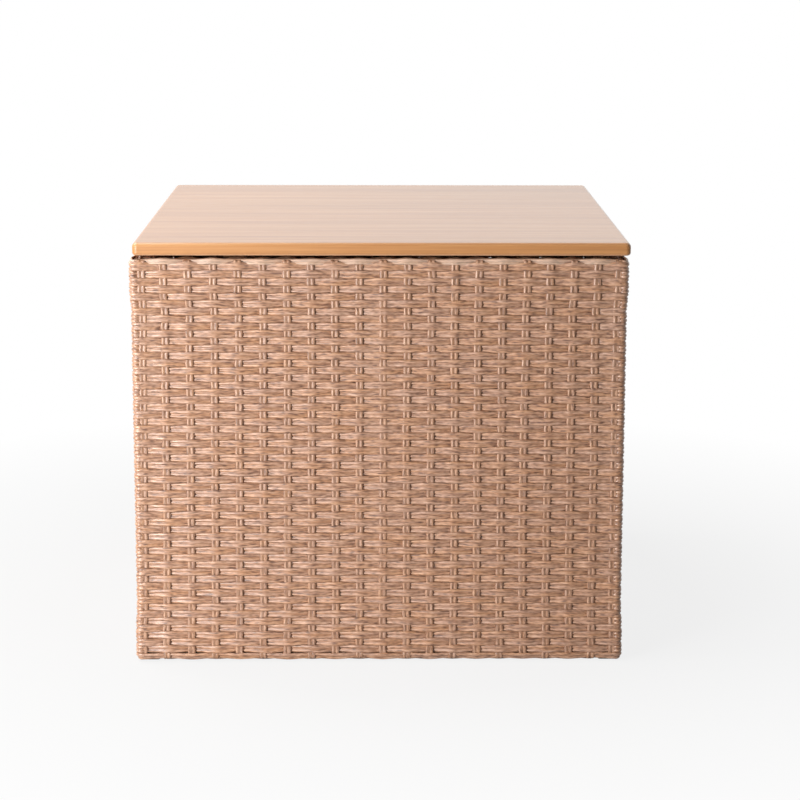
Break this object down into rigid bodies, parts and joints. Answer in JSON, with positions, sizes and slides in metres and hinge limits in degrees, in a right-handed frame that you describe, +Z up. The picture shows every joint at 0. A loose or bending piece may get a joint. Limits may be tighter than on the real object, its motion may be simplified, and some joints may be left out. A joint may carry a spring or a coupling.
{
  "type": "wicker storage box",
  "caption": "Square woven storage box on a hidden tube frame, with a flat wooden lid on two stop hinges at the back.",
  "frame": {"origin": "middle of the box's footprint, on the floor under its pads", "axes": "+Z up, +X to the right seen from the front, -Y towards the front, away from the hinges"},
  "size_m": [0.506, 0.5159, 0.4386],
  "materials": {
    "frame": "brown powder coat",
    "floor": "film-faced plywood, brown",
    "weave": "woven plastic rattan strip in streaked honey tones",
    "glide": "dark moulded plastic",
    "hinge": "satin stainless steel",
    "screw": "stainless steel",
    "lid_board": "clear satin lacquer over pale brown wood",
    "batten": "clear satin lacquer over pale brown wood",
    "bumper": "matt black rubber"
  },
  "bodies": {
    "box": {"front_left_post": "frame", "front_right_post": "frame", "rear_left_post": "frame", "rear_right_post": "frame", "front_top_rail": "frame", "rear_top_rail": "frame", "left_top_rail": "frame", "right_top_rail": "frame", "front_bottom_rail": "frame", "rear_bottom_rail": "frame", "left_bottom_rail": "frame", "right_bottom_rail": "frame", "front_upright": "frame", "rear_upright": "frame", "left_upright": "frame", "right_upright": "frame", "left_floor_bearer": "frame", "right_floor_bearer": "frame", "floor_panel": "floor", "front_weave": "weave", "rear_weave": "weave", "left_weave": "weave", "right_weave": "weave", "front_left_glide": "glide", "front_right_glide": "glide", "rear_left_glide": "glide", "rear_right_glide": "glide", "left_hinge_fixed_leaf": "hinge", "right_hinge_fixed_leaf": "hinge", "left_hinge_pin": "hinge", "right_hinge_pin": "hinge", "floor_screws": "screw", "hinge_rim_screws": "screw"},
    "lid": {"lid_panel": "lid_board", "left_lid_batten": "batten", "right_lid_batten": "batten", "batten_screws": "screw", "left_hinge_moving_leaf": "hinge", "right_hinge_moving_leaf": "hinge", "hinge_lid_screws": "screw", "lid_bumpers": "bumper"}
  },
  "joints": [
    {"name": "lid_hinge", "type": "hinge", "parent": "box", "child": "lid", "pos_m": [0, 0.2562, 0.4238], "axis": [-1, 0, 0], "range_deg": [0, 100]}
  ]
}
